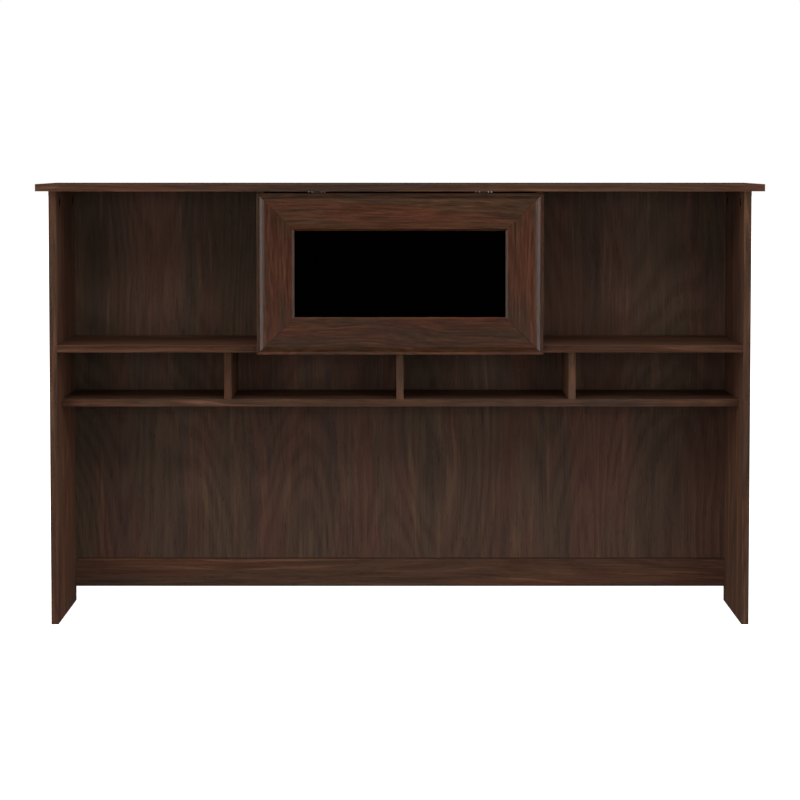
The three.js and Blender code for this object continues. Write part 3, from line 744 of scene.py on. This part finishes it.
side_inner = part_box("right_side_panel")[0].x
for shelf, rows in (("upper_shelf", UPPER_SHELF_ROWS), ("lower_shelf", LOWER_SHELF_ROWS)):
    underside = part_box(shelf)[0].z
    places = [
        Vector((side * (side_inner - CAM_FROM_END), FRONT_PLANE + row, underside))
        for side in BOTH
        for row in rows
    ]
    add_cam_faces(shelf + "_cams", places, (0, 0, -1))
for label, way in (("left", 1), ("right", -1)):
    low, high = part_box(label + "_partition")
    face = high.x if way > 0 else low.x
    z = TOP_UNDERSIDE - CAM_FROM_END
    places = [Vector((face, FRONT_PLANE + row, z)) for row in PARTITION_ROWS]
    add_cam_faces(label + "_partition_cams", places, (way, 0, 0))


# Nails round the back panel. A nail's head is (radius, height) rings in millimetres.
NAIL_FROM_EDGE = 5.5 * MM
NAIL_SPACING = 115 * MM
NAIL_HEAD = [(2.6, -0.2), (2.6, 0.1), (2.2, 0.4), (1.3, 0.6)]
NAIL_SEGMENTS = 12


def nail_heads():
    """Low round heads up both sides of the back panel, and along the rail and the two shelves."""
    low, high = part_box("back_panel")
    columns = round((high.x - low.x) / NAIL_SPACING)
    rows = round((high.z - low.z) / NAIL_SPACING)
    first_x = low.x + NAIL_FROM_EDGE
    last_x = high.x - NAIL_FROM_EDGE
    first_z = low.z + NAIL_FROM_EDGE
    last_z = high.z - NAIL_FROM_EDGE
    heights = [middle(board).z for board in ("bottom_back_rail", "upper_shelf", "lower_shelf")]
    spots = []
    for i in range(columns + 1):
        x = first_x + i * (last_x - first_x) / columns
        spots += [(x, z) for z in heights]
    for i in range(1, rows + 1):
        z = first_z + i * (last_z - first_z) / rows
        spots += [(first_x, z), (last_x, z)]
    form = bmesh.new()
    for x, z in spots:
        rings = [circle(form, radius * MM, height * MM, NAIL_SEGMENTS) for radius, height in NAIL_HEAD]
        for lower, upper in zip(rings, rings[1:]):
            join_rings(form, lower, upper)
        form.faces.new(rings[-1])
        form.faces.new(reversed(rings[0]))
        fresh = [v for ring in rings for v in ring]
        turn = Matrix.Translation((x, BACK_REAR, z)) @ facing((0, 1, 0))
        bmesh.ops.transform(form, verts=fresh, matrix=turn)
    return smooth_mesh("back_nails", form)


add_piece("back_nails", nail_heads(), STEEL, "cabinet")


# ---------------------------------------------------------------- floor, light and camera

DIM_BELOW = 0.05
BRIGHT_ABOVE = 1.0
FLOOR_SIZE = 60.0
FLOOR_BELOW = 0.2 * MM
CAMERA_DISTANCE = 4.933
CAMERA_HEIGHT = 0.9724
CAMERA_TILT = math.radians(2.891)
LENS = 106.77
LENS_SHIFT = -0.15
# How far each pair of softboxes stands out from the middle and ahead of the front plane, in metres.
FRONT_BOX_OUT = 2.62
FRONT_BOX_AHEAD = 4.25
SIDE_BOX_OUT = 2.5
SIDE_BOX_AHEAD = 0.6
BOX_LEVEL = 0.9
LOW_BOX = (0, FRONT_PLANE - 2.4, 0.25)
OVERHEAD_BOX = (0, FRONT_PLANE - 2.4, 2.4)
# What the softboxes are aimed at.
MIDDLE_OF_HUTCH = (0, 0, 0.5)
MIDDLE_OF_FRONT = (0, FRONT_PLANE, 0.6)
MIDDLE_OF_DOOR = (0, FRONT_PLANE, 0.75)


def add_floor():
    """A wide pale sheet just under the feet."""
    form = bmesh.new()
    bmesh.ops.create_grid(form, x_segments=1, y_segments=1, size=FLOOR_SIZE)
    mesh = bpy.data.meshes.new("floor")
    form.to_mesh(mesh)
    form.free()
    mesh.materials.append(pale_floor())
    floor = bpy.data.objects.new("floor", mesh)
    floor.location.z = -FLOOR_BELOW
    floor.visible_diffuse = False
    floor.visible_glossy = False
    SCENE.collection.objects.link(floor)


def add_softbox(name, place, target, size, power):
    """A rectangular light of a width and height in metres, out of the camera's sight."""
    light = bpy.data.lights.new(name, "AREA")
    light.shape = "RECTANGLE"
    light.size, light.size_y = size
    light.energy = power
    holder = bpy.data.objects.new(name, light)
    holder.location = place
    aim = Vector(target) - Vector(place)
    holder.rotation_euler = aim.to_track_quat("-Z", "Y").to_euler()
    holder.visible_camera = False
    SCENE.collection.objects.link(holder)


def add_world():
    """A soft room, brightest overhead and dim below, whose far walls show plain white."""
    world = bpy.data.worlds.new("studio")
    world.use_nodes = True
    tree = world.node_tree
    background = tree.nodes["Background"]
    background.inputs["Color"].default_value = (1.0, 1.0, 1.0, 1.0)
    direction = tree.nodes.new("ShaderNodeTexCoord")
    height = tree.nodes.new("ShaderNodeSeparateXYZ")
    fill = tree.nodes.new("ShaderNodeMapRange")
    fill.inputs["From Min"].default_value = -0.2
    fill.inputs["From Max"].default_value = 0.7
    fill.inputs["To Min"].default_value = DIM_BELOW
    fill.inputs["To Max"].default_value = BRIGHT_ABOVE
    path = tree.nodes.new("ShaderNodeLightPath")
    strength = tree.nodes.new("ShaderNodeMix")
    strength.inputs["B"].default_value = 1.0
    tree.links.new(direction.outputs["Generated"], height.inputs["Vector"])
    tree.links.new(height.outputs["Z"], fill.inputs["Value"])
    tree.links.new(path.outputs["Is Camera Ray"], strength.inputs["Factor"])
    tree.links.new(fill.outputs["Result"], strength.inputs["A"])
    tree.links.new(strength.outputs["Result"], background.inputs["Strength"])
    SCENE.world = world


def add_camera():
    """Looks straight at the front, a little above the top, from about five metres."""
    lens = bpy.data.cameras.new("camera")
    lens.sensor_width = 36.0
    lens.lens = LENS
    lens.shift_y = LENS_SHIFT
    holder = bpy.data.objects.new("camera", lens)
    holder.location = (0.0, FRONT_PLANE - CAMERA_DISTANCE, CAMERA_HEIGHT)
    holder.rotation_euler = (math.radians(90.0) - CAMERA_TILT, 0.0, 0.0)
    SCENE.collection.objects.link(holder)
    SCENE.camera = holder


add_floor()
add_world()
for side, label in ((-1, "left"), (1, "right")):
    place = (side * FRONT_BOX_OUT, FRONT_PLANE - FRONT_BOX_AHEAD, BOX_LEVEL)
    add_softbox("front_light_" + label, place, MIDDLE_OF_HUTCH, (2.0, 1.2), 82.0)
    place = (side * SIDE_BOX_OUT, FRONT_PLANE - SIDE_BOX_AHEAD, BOX_LEVEL)
    add_softbox("side_light_" + label, place, MIDDLE_OF_FRONT, (0.8, 1.6), 44.0)
add_softbox("low_light", LOW_BOX, MIDDLE_OF_DOOR, (3.2, 0.4), 10.0)
add_softbox("overhead_light", OVERHEAD_BOX, MIDDLE_OF_FRONT, (3.0, 0.8), 29.0)
add_camera()
SCENE.view_settings.view_transform = "Standard"
SCENE.view_settings.look = "None"
